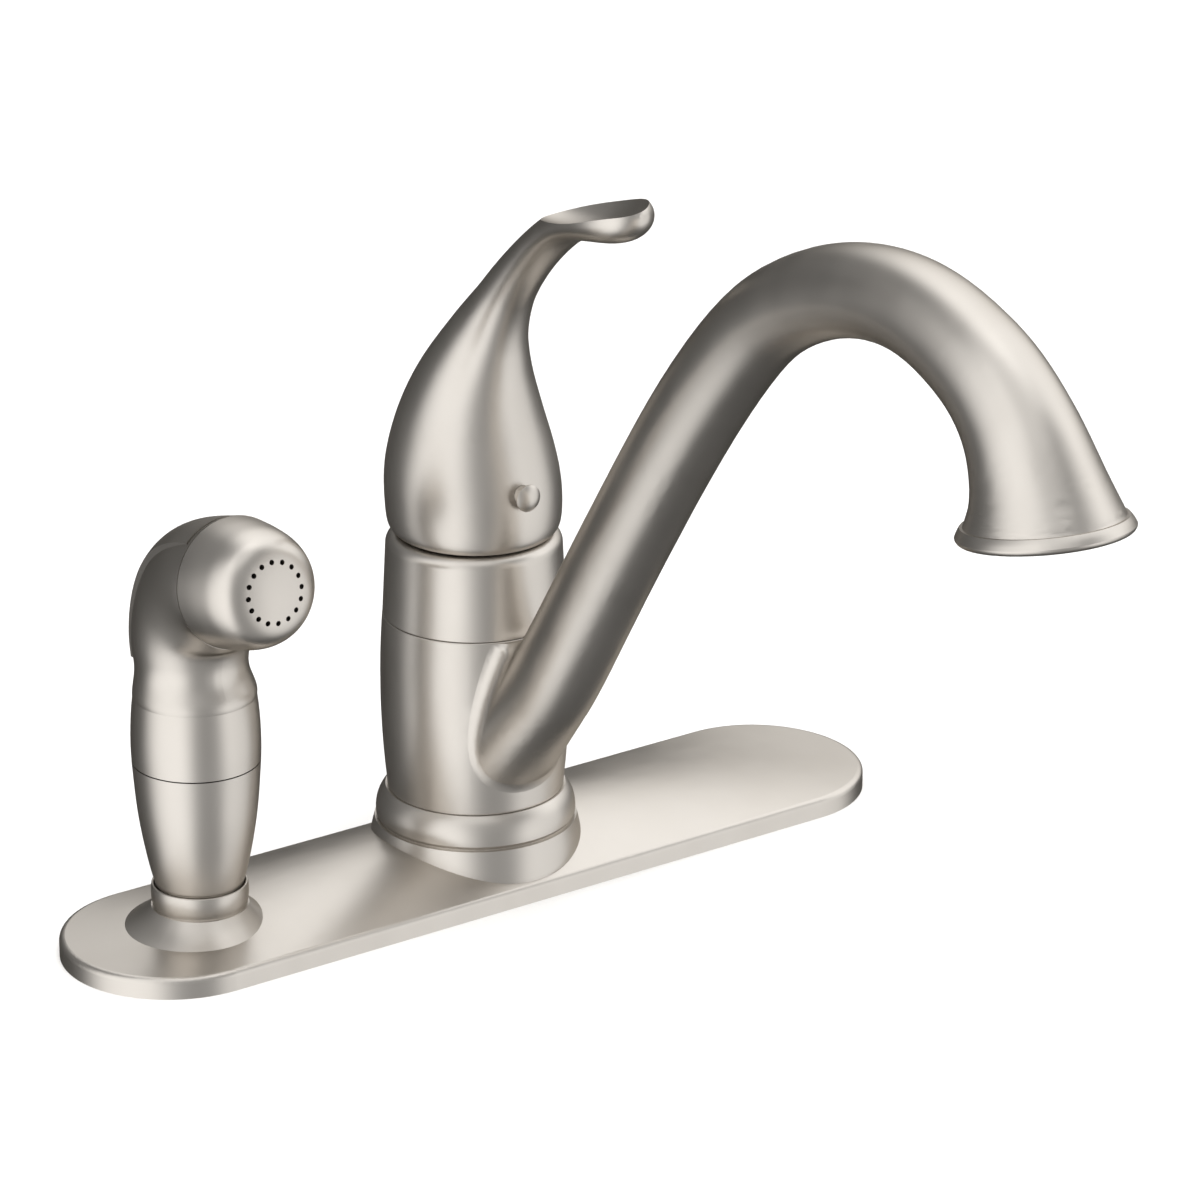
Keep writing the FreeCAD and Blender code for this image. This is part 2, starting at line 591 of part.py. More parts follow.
# ================================================================ cartridge
sleeve = ring(CARTRIDGE_R, CARTRIDGE_BORE, CARTRIDGE_BOTTOM, HEAD_TOP)
for z in CARTRIDGE_SEALS:
    sleeve = sleeve.cut(ring(CARTRIDGE_R + 1, CARTRIDGE_R - 1.6, z - 1.0, z + 1.0))
for angle in (90, 210, 330):
    a = math.radians(angle)
    port = bar(2.6, V(0, 0, 75), V(14 * math.cos(a), 14 * math.sin(a), 75))
    sleeve = sleeve.cut(port)
sleeve = sleeve.cut(clip_slot.cut(rod(CARTRIDGE_R - 2.2, CLIP_Z - 2, CLIP_Z + 2)))
save("cartridge_sleeve", sleeve)
save("cartridge_seals", *[torus(CARTRIDGE_R - 0.8, 0.8, z) for z in CARTRIDGE_SEALS])

clip_outer = CARTRIDGE_R + 1.8
clip_inner = CARTRIDGE_R - 2.1
clip_low = CLIP_Z - CLIP_THICK / 2
clip_reach = 13.5
clip = block(-clip_outer, clip_outer, -clip_reach, clip_reach, clip_low, clip_low + CLIP_THICK)
clip = clip.cut(block(-clip_inner, clip_inner, -HEAD_R, clip_reach - 2.2,
                      clip_low - 1, clip_low + CLIP_THICK + 1))
save("cartridge_clip", clip)

stem = rod(STEM_R, STEM_LOW, STEM_NECK_Z).fuse(rod(STEM_NECK_R, STEM_NECK_Z, STEM_TOP))
stem = stem.cut(rod(STEM_R - 1.6, STEM_LOW, STEM_NECK_Z - 25))
stem = stem.fuse(bar(STEM_PIN_R, V(-STEM_PIN_HALF, 0, STEM_PIN_Z),
                     V(STEM_PIN_HALF, 0, STEM_PIN_Z)))
save("cartridge_stem", stem)

# ================================================================ collar and bonnet nut
shoulder_z = COLLAR_TOP - COLLAR_ROUND
shoulder_mid = COLLAR_ROUND * math.sqrt(0.5)
collar_in = NUT_R + SEAT_GAP
collar_low = HUB_TOP + HUB_GAP
edge_mid = EDGE_ROUND * (1 - math.sqrt(0.5))
collar = turned([(HEAD_R + 2.4, collar_low), (COLLAR_FOOT_R - EDGE_ROUND, collar_low),
                 ("via", COLLAR_FOOT_R - edge_mid, collar_low + edge_mid),
                 (COLLAR_FOOT_R, collar_low + EDGE_ROUND),
                 (COLLAR_TOP_R, shoulder_z),
                 ("via", COLLAR_TOP_R - COLLAR_ROUND + shoulder_mid, shoulder_z + shoulder_mid),
                 (COLLAR_TOP_R - COLLAR_ROUND, COLLAR_TOP), (collar_in, COLLAR_TOP),
                 (collar_in, NUT_LOW), (HEAD_R + SEAT_GAP, NUT_LOW),
                 (HEAD_R + SEAT_GAP, HUB_TOP + 3), (HEAD_R + 2.4, HUB_TOP + 3)])
save("body_collar", collar)

bonnet = turned([(HEAD_R + SEAT_GAP, NUT_LOW), (NUT_R, NUT_LOW), (NUT_R, COLLAR_TOP - 0.8),
                 (NUT_NECK_R + 2, COLLAR_TOP + 1.2), (NUT_NECK_R, COLLAR_TOP + 1.2),
                 (NUT_NECK_R, NUT_NECK_TOP), (STEM_R + 0.6, NUT_NECK_TOP),
                 (STEM_R + 0.6, HEAD_TOP), (HEAD_R + SEAT_GAP, HEAD_TOP)])
groove_low = CARRIER_TOP + 0.15
bonnet = bonnet.cut(ring(NUT_NECK_R + 1, NUT_NECK_R - 0.75, groove_low, groove_low + 0.75))
save("bonnet_nut", bonnet)
snap_ring = ring(NUT_NECK_R + 1.4, NUT_NECK_R - 0.7, groove_low + 0.05, groove_low + 0.7)
snap_ring = snap_ring.cut(block(-3.6, 3.6, 0, NUT_NECK_R + 3, CARRIER_TOP, CARRIER_TOP + 2))
save("snap_ring", snap_ring)

# ================================================================ handle carrier and adapter
ear_low = CARRIER_LOW
carrier = ring(CARRIER_R, NUT_NECK_R + RUN_GAP, CARRIER_LOW, CARRIER_TOP)
carrier = carrier.cut(block(-EAR_INNER, EAR_INNER, 0, CARRIER_R + 1, CARRIER_LOW, CARRIER_TOP))
for side in (1, -1):
    x0 = side * EAR_INNER
    x1 = side * (EAR_INNER + EAR_THICK)
    ear = block(min(x0, x1), max(x0, x1), LIFT_Y - EAR_R - 3, LIFT_Y, ear_low, LIFT_Z + EAR_R)
    ear = ear.fuse(bar(EAR_R, V(x0, LIFT_Y, LIFT_Z), V(x1, LIFT_Y, LIFT_Z)))
    carrier = carrier.fuse(ear)
bearing = rod(NUT_NECK_R + RUN_GAP, CARRIER_LOW, LIFT_Z + EAR_R + 1)
carrier = carrier.cut(bearing)
carrier = carrier.cut(bar(LIFT_PIN_R + SEAT_GAP, V(-20, LIFT_Y, LIFT_Z), V(20, LIFT_Y, LIFT_Z)))
save("handle_carrier", carrier.removeSplitter())

lift_pin = bar(LIFT_PIN_R, V(-LIFT_PIN_HALF, LIFT_Y, LIFT_Z), V(LIFT_PIN_HALF, LIFT_Y, LIFT_Z))
save("lift_pin", lift_pin)

adapter_low = HANDLE_CAVITY_TOP - 1.0
slot_top = STEM_TOP + 5.5
slot_front = 8.5
slot_back = 6.0
tongue_half = EAR_INNER - FACE_GAP
adapter = rod(SOCKET_R - SEAT_GAP, adapter_low, SOCKET_TOP - 0.6)
tongue = block(-tongue_half, tongue_half, NUT_NECK_R + 1.8, LIFT_Y, LIFT_Z,
               HANDLE_CAVITY_TOP - 0.3)
tongue = tongue.fuse(bar(EAR_R, V(-tongue_half, LIFT_Y, LIFT_Z), V(tongue_half, LIFT_Y, LIFT_Z)))
adapter = adapter.fuse(tongue)
adapter = adapter.cut(bar(LIFT_PIN_R + RUN_GAP, V(-20, LIFT_Y, LIFT_Z), V(20, LIFT_Y, LIFT_Z)))
adapter = adapter.cut(block(-STEM_SLOT_HALF, STEM_SLOT_HALF, -slot_front, slot_back,
                            adapter_low - 1, slot_top))
pin_room = STEM_PIN_R + 0.35
adapter = adapter.cut(block(-STEM_PIN_HALF - 0.6, STEM_PIN_HALF + 0.6, -pin_room - 2.2, pin_room,
                            STEM_PIN_Z - pin_room, STEM_PIN_Z + pin_room))
adapter = adapter.cut(bar(SCREW_R + SEAT_GAP, V(0, -SOCKET_R - 1, SCREW_Z),
                          V(0, -SOCKET_R + 2.2, SCREW_Z)))
save("handle_adapter", adapter)

# ================================================================ handle
handle = skinned(HANDLE_SECTIONS)
dish_start = V(0, DISH_START[0], DISH_START[1])
dish_line = V(0, DISH_END[0], DISH_END[1]) - dish_start
dish_half = dish_line.Length / 2
dish_line.normalize()
dish_up = V(0, dish_line.z, -dish_line.y)
dish_reach = dish_half + DISH_OVER
dish_end_r = DISH_AXIS + DISH_DEPTH * (1 - (dish_reach / dish_half) ** 2)
dish = turned([(0, -dish_reach), (dish_end_r, -dish_reach),
               ("via", DISH_AXIS + DISH_DEPTH, 0), (dish_end_r, dish_reach), (0, dish_reach)])
dish.translate(V(0, 0, dish_half))
dish.rotate(V(0, 0, 0), V(1, 0, 0), math.degrees(math.atan2(-dish_line.y, dish_line.z)))
dish.translate(dish_start + dish_up * DISH_AXIS)
dish.rotate(dish_start, dish_line, SPOON_ROLL)
handle = handle.cut(dish)
cavity = turned([(0, HANDLE_RIM_Z - 1), (HANDLE_CAVITY_R, HANDLE_RIM_Z - 1),
                 (HANDLE_CAVITY_R, HANDLE_CAVITY_TOP - 2.5),
                 (HANDLE_CAVITY_R - 2.5, HANDLE_CAVITY_TOP), (SOCKET_R, HANDLE_CAVITY_TOP),
                 (SOCKET_R, SOCKET_TOP), (0, SOCKET_TOP + 6)])
handle = handle.cut(cavity)
bell_front = handle.common(bar(0.2, V(0, 0, SCREW_Z), V(0, -40, SCREW_Z))).BoundBox.YMin
handle = handle.cut(bar(COVER_STEM_R + SEAT_GAP, V(0, -SOCKET_R + 1, SCREW_Z), V(0, -40, SCREW_Z)))
save("handle", handle)

screw = bar(SCREW_R, V(0, -SOCKET_R + 2.1, SCREW_Z), V(0, -SOCKET_R - 4.5, SCREW_Z))
screw_end = -SOCKET_R - 4.5
hex_key = hexagon(2.5, 0, 3).rotated(V(0, 0, 0), V(1, 0, 0), -90)
screw = screw.cut(hex_key.translated(V(0, screw_end, SCREW_Z)))
save("handle_screw", screw)

dome_r = (COVER_R ** 2 + COVER_DOME ** 2) / (2 * COVER_DOME)
dome_half = math.asin(COVER_R / dome_r) / 2
dome_via = 0.75 + COVER_DOME - dome_r * (1 - math.cos(dome_half))
cover = turned([(0, -5.6), (COVER_STEM_R - 0.02, -5.6), (COVER_STEM_R - 0.02, 0.35),
                (COVER_R, 0.35), (COVER_R, 0.75),
                ("via", dome_r * math.sin(dome_half), dome_via), (0, 0.75 + COVER_DOME)])
cover.rotate(V(0, 0, 0), V(1, 0, 0), 90)
cover.translate(V(0, bell_front, SCREW_Z))
save("screw_cover", cover)

# ================================================================ spout
hub_low = BEAD_TOP + HUB_GAP
hub = turned([(0, hub_low), (HUB_FOOT_R, hub_low), ("via", HUB_MID[0], HUB_MID[1]),
              (HUB_TOP_R, HUB_TOP), (0, HUB_TOP)])
hub_edge = turned([(HUB_TOP_R - EDGE_ROUND, HUB_TOP),
                   ("via", HUB_TOP_R - edge_mid, HUB_TOP - edge_mid),
                   (HUB_TOP_R, HUB_TOP - EDGE_ROUND), (HUB_TOP_R + 1, HUB_TOP - EDGE_ROUND),
                   (HUB_TOP_R + 1, HUB_TOP + 1), (HUB_TOP_R - EDGE_ROUND, HUB_TOP + 1)])
hub_core = rod(SPINDLE_R + RUN_GAP, 0, HUB_TOP + 10)
chamber = rod(CHAMBER_R, CHAMBER[0], CHAMBER[1])


lean = math.radians(OUTLET_LEAN)
outlet_up = V(0, math.sin(lean), math.cos(lean))
outlet = V(0, OUTLET_CENTRE[0], OUTLET_CENTRE[1])
neck = outlet + outlet_up * NECK_ABOVE_LIP
outer = SPOUT_ROOT + [(y, z, r, r, tilt) for y, z, r, tilt in SPOUT_SECTIONS]
outer.append((neck.y, neck.z, NECK_R, NECK_R, 180 - OUTLET_LEAN))
inside_lip = outlet + outlet_up * (LIP_LINE - 0.9)
outer.append((inside_lip.y, inside_lip.z, LIP_LINE_R, LIP_LINE_R, 180 - OUTLET_LEAN))
tube_outer = skinned(outer)


def turned_on_outlet(outline):
    solid = turned(outline)
    solid.rotate(V(0, 0, 0), V(1, 0, 0), -OUTLET_LEAN)
    solid.translate(outlet)
    return solid


lip = turned_on_outlet([(0, 0), (LIP_R - LIP_ROUND, 0),
                        ("via", LIP_R - 0.35, LIP_ROUND * 0.45), (LIP_R, LIP_ROUND),
                        ("via", LIP_R - 0.45, LIP_ROUND + 1.0), (LIP_LINE_R + 0.45, LIP_LINE),
                        (0, LIP_LINE)])
aerator_top = AERATOR_DEPTH + AERATOR_HEIGHT
mouth = turned_on_outlet([(0, -1), (LIP_INNER_R, -1), (LIP_INNER_R, 0.6),
                          ("via", LIP_INNER_R - 1.4, AERATOR_DEPTH + 1),
                          (AERATOR_R + 1.6, AERATOR_DEPTH + 3.4), (AERATOR_R, AERATOR_DEPTH + 3.4),
                          (AERATOR_R, aerator_top), (0, aerator_top + 2)])
bore_end = outlet + outlet_up * (aerator_top + 0.5)
bore_at = SPOUT_ROOT[2][:2] + (SPOUT_ROOT[2][4],)
bore_at = [bore_at] + [(y, z, tilt) for y, z, r, tilt in SPOUT_SECTIONS[:-2]]
bore = [(y, z, SPOUT_BORE, SPOUT_BORE, tilt) for y, z, tilt in bore_at]
bore.append((bore_end.y, bore_end.z, SPOUT_BORE, SPOUT_BORE, 180 - OUTLET_LEAN))
tube_bore = skinned(bore)
entry = bar(SPOUT_BORE, V(0, -CHAMBER_R + 3, OUTLET_Z), V(0, SPOUT_ROOT[2][0] - 1, OUTLET_Z))

spout = hub.fuse(tube_outer)
root_edges = [e for e in spout.Edges if e.BoundBox.ZMin > hub_low + 1
              and e.BoundBox.ZMax < HUB_TOP - 1 and e.BoundBox.YMax < 0]
spout = spout.makeFillet(ROOT_ROUND, root_edges).fuse(lip).cut(hub_edge)
spout = spout.cut(chamber).cut(mouth).cut(tube_bore).cut(entry).cut(hub_core)
save("spout", spout)

housing = turned_on_outlet([(AERATOR_R - AERATOR_WALL, AERATOR_DEPTH),
                            (AERATOR_R - SEAT_GAP - 0.4, AERATOR_DEPTH),
                            (AERATOR_R - SEAT_GAP, AERATOR_DEPTH + 0.4),
                            (AERATOR_R - SEAT_GAP, aerator_top - 1.5),
                            (AERATOR_R - AERATOR_WALL, aerator_top - 1.5)])
for k in range(8):
    notch = block(-1.0, 1.0, AERATOR_R - AERATOR_WALL - 1, AERATOR_R + 1,
                  AERATOR_DEPTH - 1, AERATOR_DEPTH + 1.2)
    notch.rotate(V(0, 0, 0), V(0, 0, 1), 45 * k)
    notch.rotate(V(0, 0, 0), V(1, 0, 0), -OUTLET_LEAN)
    notch.translate(outlet)
    housing = housing.cut(notch)
save("aerator_housing", housing)
screen_r = AERATOR_R - AERATOR_WALL - SEAT_GAP
screen = rod(screen_r, AERATOR_DEPTH + 2, AERATOR_DEPTH + 2 + SCREEN_THICK)
hole_pitch = 2.6
for i in range(-4, 5):
    for j in range(-4, 5):
        x = hole_pitch * (i + 0.5 * (j % 2))
        y = hole_pitch * 0.866 * j
        if math.hypot(x, y) < screen_r - 1.6:
            screen = screen.cut(rod(0.8, AERATOR_DEPTH, AERATOR_DEPTH + 5, x, y))
screen.rotate(V(0, 0, 0), V(1, 0, 0), -OUTLET_LEAN)
screen.translate(outlet)
save("aerator_screen", screen)
aerator_washer = turned_on_outlet([(SPOUT_BORE, aerator_top - 1.5),
                                   (AERATOR_R - SEAT_GAP, aerator_top - 1.5),
                                   (AERATOR_R - SEAT_GAP, aerator_top),
                                   (SPOUT_BORE, aerator_top)])
save("aerator_washer", aerator_washer)

# ================================================================ spray guide
guide_in = GUIDE_COLLAR_R - GUIDE_WALL
guide = turned([(GUIDE_BORE, GUIDE_BOTTOM), (GUIDE_SHANK_R, GUIDE_BOTTOM),
                (GUIDE_SHANK_R, SPRAY_HEIGHT), (GUIDE_COLLAR_R - 0.5, SPRAY_HEIGHT),
                ("via", GUIDE_COLLAR_R + 0.1, (SPRAY_HEIGHT + GUIDE_COLLAR_TOP) / 2),
                (GUIDE_COLLAR_R - 0.1, GUIDE_COLLAR_TOP - 0.4),
                ("via", GUIDE_COLLAR_R - GUIDE_WALL / 2, GUIDE_COLLAR_TOP),
                (guide_in, GUIDE_COLLAR_TOP - 0.4), (guide_in - 0.3, GUIDE_FLOOR),
                (GUIDE_BORE, GUIDE_FLOOR)], spray_x)
for k in range(int((-DECK_GRIP - GUIDE_BOTTOM - PILOT) / thread_pitch)):
    z = GUIDE_BOTTOM + PILOT + 0.9 + thread_pitch * k
    guide = guide.cut(turned([(GUIDE_SHANK_R - 0.7, z), (GUIDE_SHANK_R + 0.2, z - 0.9),
                              (GUIDE_SHANK_R + 0.2, z + 0.9)], spray_x))
save("spray_guide", guide)
guide_washer = ring(GUIDE_WASHER_R, GUIDE_SHANK_R + 0.3, washer_low, -DECK_GRIP, spray_x)
save("guide_washer", guide_washer)
guide_nut = hexagon(GUIDE_NUT_FLATS, washer_low - GUIDE_NUT_THICK, washer_low, spray_x)
guide_nut = guide_nut.cut(rod(GUIDE_SHANK_R + SEAT_GAP, washer_low - GUIDE_NUT_THICK, washer_low,
                              spray_x))
save("guide_nut", guide_nut)

# ================================================================ spray wand
inlet = turned([(INLET_BORE, INLET_BOTTOM), (INLET_THREAD_R, INLET_BOTTOM),
                (INLET_THREAD_R, 0), (INLET_R, 0), (INLET_R, WAND_FLOOR + FACE_GAP),
                (INLET_COLLAR_R, WAND_FLOOR + FACE_GAP),
                (INLET_COLLAR_R, WAND_FLOOR + FACE_GAP + INLET_FLANGE),
                (INLET_R, WAND_FLOOR + FACE_GAP + INLET_FLANGE), (INLET_R, INLET_TOP),
                (INLET_BORE, INLET_TOP)], spray_x)
save("spray_inlet", inlet)

half_seam = SEAM / 2
grip = turned([(INLET_R + RUN_GAP, WAND_BOTTOM), (WAND_FOOT_R, WAND_BOTTOM),
               ("via", WAND_MOUTH[0] - 0.2, (WAND_BOTTOM + WAND_MOUTH[1]) / 2),
               WAND_MOUTH, ("through", GRIP_SIDE),
               (WAND_SEAM_R, WAND_SEAM_Z - half_seam), (WAND_BORE, WAND_SEAM_Z - half_seam),
               (WAND_BORE, WAND_FLOOR), (INLET_R + RUN_GAP, WAND_FLOOR)], spray_x)
save("spray_grip", grip)
save("inlet_seal", torus(INLET_R + 1.35, 1.25, INLET_TOP - 3.0, spray_x))

coupling = ring(WAND_BORE - SEAT_GAP, COUPLING_BORE, COUPLING[0], COUPLING[1], spray_x)
save("wand_coupling", coupling)


# ---------------------------------------------------------------- head
def elbow_at(angle, offset=0.0):
    """Point on the elbow's centreline, moved outwards from the bend's centre by offset."""
    a = math.radians(angle)
    reach = HEAD_BEND + offset
    return V(spray_x, -HEAD_BEND + reach * math.cos(a), HEAD_BEND_Z + reach * math.sin(a))


def elbow_circle(angle, radius, offset=0.0):
    a = math.radians(angle)
    return circle(elbow_at(angle, offset), V(0, -math.sin(a), math.cos(a)), radius)


bend_end = 90 - HEAD_TILT
# Sections of the elbow: angle, radius, and offset away from the bend's centre.
elbow_sections = [(0, HEAD_START_R, HEAD_BACK), (bend_end / 3, HEAD_MID_R - 0.35, HEAD_BACK / 3),
                  (2 * bend_end / 3, HEAD_MID_R + 0.35, 0), (bend_end, HEAD_SEAM_R, 0)]


def elbow(shrink, proud=0.0):
    """The elbow from its foot to the nozzle seam, with its radius made smaller by shrink, or
    larger by the lever's share of proud."""
    grow = [proud * share - shrink for share in LEVER_PROUD_SHARE]
    upright = [(HEAD_FOOT, 0), (HEAD_NECK, HEAD_BACK / 3), (HEAD_WAIST, HEAD_BACK)]
    wires = []
    for ((radius, height), back), more in zip(upright, grow):
        wires.append(circle(V(spray_x, back, height), V(0, 0, 1), radius + more))
    for (angle, radius, offset), more in zip(elbow_sections, grow[len(upright):]):
        wires.append(elbow_circle(angle, radius + more, offset))
    return Part.makeLoft(wires, True, False)


lower = turned([(0, WAND_SEAM_Z + half_seam), (WAND_SEAM_R, WAND_SEAM_Z + half_seam),
                ("through", HEAD_SIDE), HEAD_FOOT, (0, HEAD_FOOT[1])], spray_x)
skin_elbow = elbow(0)
head = lower.fuse(skin_elbow)
lever_band = block(spray_x - LEVER_HALF, spray_x + LEVER_HALF, -60, 60, LEVER_END_Z, 200)
recess_half = LEVER_HALF + LEVER_SIDE_GAP
recess_band = block(spray_x - recess_half, spray_x + recess_half, -60, 60,
                    LEVER_END_Z - LEVER_END_GAP, 200)


def behind(angle):
    """Everything on the grip's side of the elbow section at this angle."""
    a = math.radians(angle)
    slab = Part.makeBox(200, 200, 200, V(-100, -100, -200))
    slab.rotate(V(0, 0, 0), V(1, 0, 0), angle)
    slab.translate(elbow_at(angle))
    return slab


def outside(radius):
    """Everything further than this radius from the axis of the bend."""
    centre = V(spray_x - 100, -HEAD_BEND, HEAD_BEND_Z)
    big = Part.makeCylinder(120, 200, centre, V(1, 0, 0))
    return big.cut(Part.makeCylinder(radius, 200, centre, V(1, 0, 0)))


pin_at = elbow_at(LEVER_PIN_ANGLE, LEVER_PIN_HEIGHT)


def pressed(solid, degrees):
    """The solid as it stands when the lever is pressed in by this angle."""
    moved = solid.copy()
    moved.rotate(pin_at, V(-1, 0, 0), degrees)
    return moved


def across(radius, half):
    return bar(radius, pin_at - V(half, 0, 0), pin_at + V(half, 0, 0))


lever = elbow(0, LEVER_PROUD).cut(elbow(LEVER_THICK)).common(lever_band)
lever = lever.common(outside(HEAD_BEND + 4)).common(behind(LEVER_FRONT))
lug_top = elbow_at(LEVER_PIN_ANGLE, HEAD_SEAM_R - LEVER_THICK / 2)
lug = Part.makeBox(2 * LUG_HALF, 2 * LUG_R, (lug_top - pin_at).Length,
                   V(-LUG_HALF, -LUG_R, 0))
lug.rotate(V(0, 0, 0), V(1, 0, 0), LEVER_PIN_ANGLE - 90)
lug.translate(pin_at)
lug = lug.common(elbow(LEVER_THICK / 2))
lever = lever.fuse(lug).fuse(across(LUG_R, LUG_HALF))
lever = lever.cut(across(LEVER_PIN_R + RUN_GAP, LUG_HALF + 1))
save("spray_lever", lever)

recess = skin_elbow.cut(elbow(LEVER_THICK + FACE_GAP).common(
    pressed(elbow(LEVER_THICK + FACE_GAP), LEVER_TRAVEL + 0.6))).common(recess_band)
recess = recess.common(outside(HEAD_BEND + 2)).common(behind(LEVER_FRONT + 1.2))
head = head.cut(recess)
post_half = LUG_HALF + FACE_GAP + POST_THICK
posts = across(POST_R, post_half)
posts = posts.fuse(bar(POST_R, pin_at - V(post_half, 0, 0), pin_at + V(post_half, 0, 0)))
post_foot = Part.makeBox(2 * post_half, 2 * POST_R, 5.0, V(-post_half, -POST_R, -5.0))
post_foot.rotate(V(0, 0, 0), V(1, 0, 0), LEVER_PIN_ANGLE - 90)
post_foot.translate(pin_at)
head = head.fuse(posts).fuse(post_foot)
lug_room = across(LUG_R + FACE_GAP, LUG_HALF + FACE_GAP)
lug_slot = Part.makeBox(2 * (LUG_HALF + FACE_GAP), 2 * (LUG_R + FACE_GAP), 8.0,
                        V(-LUG_HALF - FACE_GAP, -LUG_R - FACE_GAP, 0))
lug_slot.rotate(V(0, 0, 0), V(1, 0, 0), LEVER_PIN_ANGLE - 90)
lug_slot.translate(pin_at)
head = head.cut(lug_room).cut(lug_slot)
head = head.cut(across(LEVER_PIN_R + SEAT_GAP, post_half + 1))
head = head.cut(rod(WAND_BORE, WAND_SEAM_Z, COUPLING[1] + 0.1, spray_x))
head = head.cut(rod(HEAD_BORE, WAND_SEAM_Z, VALVE_Z + 10, spray_x))
nozzle_dir = V(0, -math.cos(math.radians(HEAD_TILT)), math.sin(math.radians(HEAD_TILT)))
seam_centre = elbow_at(bend_end)
head = head.cut(bar(HEAD_BORE, seam_centre - nozzle_dir * 28, seam_centre + nozzle_dir * 2))
stem_hole = bar(VALVE_STEM_R + RUN_GAP, V(spray_x, 0, VALVE_Z), V(spray_x, 30, VALVE_Z))
head = head.cut(stem_hole)
save("spray_head", head)
save("lever_pin", across(LEVER_PIN_R, post_half))

# The valve pin reaches from the water passage to just short of the lever.
lever_reach = HEAD_BEND + HEAD_START_R + 0.3 - LEVER_THICK
above_bend = VALVE_Z + VALVE_STEM_R - HEAD_BEND_Z
lever_inside = math.sqrt(lever_reach ** 2 - above_bend ** 2) - HEAD_BEND
wall = HEAD_BORE
disc_front = wall - 1.5
valve_pin = bar(VALVE_STEM_R, V(spray_x, disc_front - 0.5, VALVE_Z),
                V(spray_x, lever_inside - FACE_GAP, VALVE_Z))
valve_pin = valve_pin.fuse(bar(VALVE_DISC_R, V(spray_x, disc_front - VALVE_DISC_THICK, VALVE_Z),
                               V(spray_x, disc_front - FACE_GAP, VALVE_Z)))
save("valve_pin", valve_pin)
spring_room = disc_front - VALVE_DISC_THICK - VALVE_TRAVEL - FACE_GAP + wall - 1.5
valve_spring = helix(VALVE_SPRING_R, VALVE_WIRE, spring_room, 5)
valve_spring.rotate(V(0, 0, 0), V(1, 0, 0), -90)
valve_spring.translate(V(spray_x, -wall + 1.5, VALVE_Z))
save("valve_spring", valve_spring)

# ---------------------------------------------------------------- nozzle
def on_nozzle(solid):
    """Place a solid drawn about +Z, with its face at z = 0 and its body below, on the nozzle."""
    solid.rotate(V(0, 0, 0), V(1, 0, 0), 90 - HEAD_TILT)
    solid.translate(seam_centre + nozzle_dir * CAP_LENGTH)
    return solid


cap_low = -CAP_LENGTH + half_seam
cap_inner = CAP_SIDE[4]
cap = turned([(0, 0), ("via", CAP_CROWN[0][0], -CAP_CROWN[0][1]), (CAP_CROWN[1][0], -CAP_CROWN[1][1]),
              ("through", [(r, -d) for r, d in CAP_SIDE]), (HEAD_SEAM_R - 0.1, cap_low),
              (HEAD_SEAM_R - CAP_WALL - 0.1, cap_low), (cap_inner[0] - CAP_WALL, -cap_inner[1]),
              (INSERT_R + SEAT_GAP, -CAP_FACE_THICK), (0, -CAP_FACE_THICK)])
for k in range(SPRAY_HOLES):
    a = 2 * math.pi * k / SPRAY_HOLES
    cap = cap.cut(rod(SPRAY_HOLE_R, -CAP_FACE_THICK - 1, 1, SPRAY_HOLE_RING * math.cos(a),
                      SPRAY_HOLE_RING * math.sin(a)))
save("nozzle_cap", on_nozzle(cap))
insert = rod(INSERT_R, -CAP_FACE_THICK - INSERT_THICK, -CAP_FACE_THICK)
insert = insert.cut(ring(SPRAY_HOLE_RING + 1.2, SPRAY_HOLE_RING - 1.2, -CAP_FACE_THICK - 1.5,
                         -CAP_FACE_THICK))
save("nozzle_insert", on_nozzle(insert))
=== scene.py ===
import json
import math

import bpy
from mathutils import Matrix, Vector

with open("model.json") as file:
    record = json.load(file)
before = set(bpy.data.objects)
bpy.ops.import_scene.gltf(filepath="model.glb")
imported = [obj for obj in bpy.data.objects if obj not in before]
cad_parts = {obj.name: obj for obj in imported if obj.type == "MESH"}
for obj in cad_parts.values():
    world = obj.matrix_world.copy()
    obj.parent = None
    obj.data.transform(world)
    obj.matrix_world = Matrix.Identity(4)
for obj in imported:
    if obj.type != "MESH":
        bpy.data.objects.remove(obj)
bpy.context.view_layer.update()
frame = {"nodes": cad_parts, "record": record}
nodes = frame["nodes"]

# ---------------------------------------------------------------- camera, in metres
CAMERA_AT = (-0.8558, -1.2435, 0.6742)
CAMERA_RIGHT = (0.80959, -0.58699, 0.00295)
CAMERA_UP = (0.20998, 0.29430, 0.93236)
CAMERA_BACK = (-0.54815, -0.75421, 0.36152)
LENS = 157.23           # mm
SENSOR_WIDTH = 36.0     # mm
CLIP_NEAR = 0.05
CLIP_FAR = 50.0
CAMERA_AZIMUTH = 235.5  # direction from the faucet to the camera, degrees from +X

# ---------------------------------------------------------------- studio
FLOOR_SIZE = 12.0
FLOOR_TINT = (0.93, 0.925, 0.915)
FLOOR_ROUGH = 0.9
# Soft boxes as seen from the faucet: turn from the camera towards the right of the picture and
# elevation in degrees, brightness, half width of the bright core and of its soft rim in degrees,
# and a height factor, which is below 1 for a box that is stretched upwards.
SOFT_BOXES = [
    (-47, -12, 1.18, 14, 55, 0.45),
    (82, -8, 0.85, 20, 44, 0.8),
    (22, -10, 0.24, 30, 60, 0.6),
    (142, 48, 1.15, 28, 56, 1.0),
    (-120, 60, 0.12, 20, 50, 1.0),
    (0, 68, 0.70, 14, 38, 1.0),
]
AMBIENT = 0.11
WORLD_TINT = (1.0, 0.995, 0.985)
TOP_LIGHT_POWER = 60.0
TOP_LIGHT_SIZE = 3.0
TOP_LIGHT_AT = (-0.6, -0.9, 2.6)

